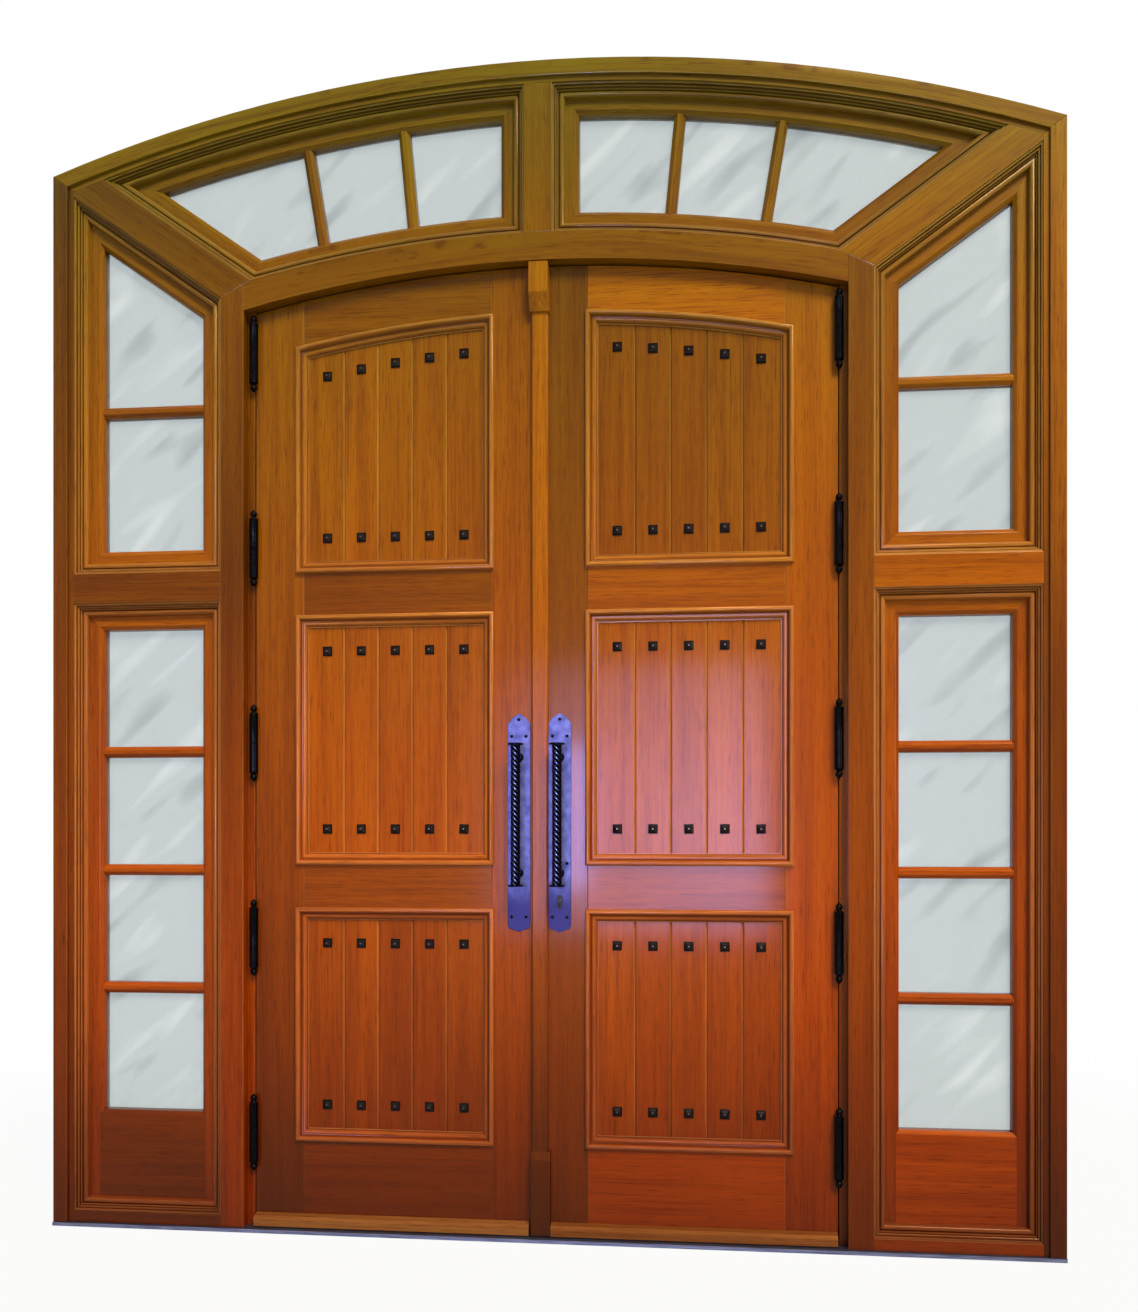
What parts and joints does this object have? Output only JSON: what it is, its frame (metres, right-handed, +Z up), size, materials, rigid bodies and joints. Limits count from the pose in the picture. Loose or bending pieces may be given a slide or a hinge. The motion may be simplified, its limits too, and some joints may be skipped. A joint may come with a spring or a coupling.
{
  "type": "front door",
  "caption": "Arched panelled mahogany entrance door with paired swinging leaves, glazed sidelights and transom, studded board panels, long bar pulls and barrel hinges, in its frame.",
  "frame": {"origin": "centre of the sill's underside, halfway through the frame's depth, under the line where the leaves meet", "axes": "+X to the right seen from outside, +Y into the building, +Z up"},
  "size_m": [2.772, 0.1865, 3.2028],
  "materials": {
    "mahogany": "gloss varnished mahogany",
    "glass": "clear float glass",
    "black_iron": "black waxed iron",
    "blued_iron": "dark blued iron",
    "brass": "aged brass",
    "steel": "satin steel",
    "sill_aluminium": "mill aluminium"
  },
  "bodies": {
    "frame": {"left_jamb": "mahogany", "right_jamb": "mahogany", "arch_head": "mahogany", "left_post": "mahogany", "right_post": "mahogany", "left_diagonal_post": "mahogany", "right_diagonal_post": "mahogany", "centre_post": "mahogany", "door_head_rail": "mahogany", "left_side_rails": "mahogany", "right_side_rails": "mahogany", "sill": "sill_aluminium", "left_upper_sash": "mahogany", "left_lower_sash": "mahogany", "right_upper_sash": "mahogany", "right_lower_sash": "mahogany", "left_transom_sash": "mahogany", "right_transom_sash": "mahogany", "glass_panes": "glass", "glazing_beads": "mahogany", "left_side_mouldings": "mahogany", "right_side_mouldings": "mahogany", "transom_mouldings": "mahogany", "side_bottom_panels": "mahogany", "frame_hinge_plates": "black_iron", "hinge_pins": "black_iron"},
    "right_leaf": {"right_hinge_stile": "mahogany", "right_meeting_stile": "mahogany", "right_top_rail": "mahogany", "right_middle_rails": "mahogany", "right_bottom_rail": "mahogany", "right_boards": "mahogany", "right_panel_mouldings": "mahogany", "right_clavos": "black_iron", "right_weather_bar": "mahogany", "right_pull_plate": "blued_iron", "right_pull_bar": "black_iron", "right_pull_screws": "black_iron", "right_hinge_plates": "black_iron", "astragal": "mahogany", "lock_case": "steel", "keyhole_escutcheons": "brass"},
    "left_leaf": {"left_hinge_stile": "mahogany", "left_meeting_stile": "mahogany", "left_top_rail": "mahogany", "left_middle_rails": "mahogany", "left_bottom_rail": "mahogany", "left_boards": "mahogany", "left_panel_mouldings": "mahogany", "left_clavos": "black_iron", "left_weather_bar": "mahogany", "left_pull_plate": "blued_iron", "left_pull_bar": "black_iron", "left_pull_screws": "black_iron", "left_hinge_plates": "black_iron", "strike_plate": "brass", "flush_bolt_cases": "brass"},
    "deadbolt": {"deadbolt": "steel"},
    "top_bolt": {"top_flush_bolt": "steel"},
    "bottom_bolt": {"bottom_flush_bolt": "steel"}
  },
  "joints": [
    {"name": "right_leaf_swing", "type": "hinge", "parent": "frame", "child": "right_leaf", "pos_m": [0.8075, -0.05, 1.362], "axis": [0, 0, 1], "range_deg": [0, 105]},
    {"name": "left_leaf_swing", "type": "hinge", "parent": "frame", "child": "left_leaf", "pos_m": [-0.8075, -0.05, 1.362], "axis": [0, 0, -1], "range_deg": [0, 105]},
    {"name": "deadbolt_throw", "type": "slide", "parent": "right_leaf", "child": "deadbolt", "axis": [-1, 0, 0], "range_m": [0, 0.022]},
    {"name": "top_bolt_throw", "type": "slide", "parent": "left_leaf", "child": "top_bolt", "axis": [0, 0, 1], "range_m": [0, 0.016]},
    {"name": "bottom_bolt_throw", "type": "slide", "parent": "left_leaf", "child": "bottom_bolt", "axis": [0, 0, -1], "range_m": [0, 0.01]}
  ],
  "couplings": [
    {"joint": "left_leaf_swing", "follows": "right_leaf_swing", "ratio": 1}
  ]
}
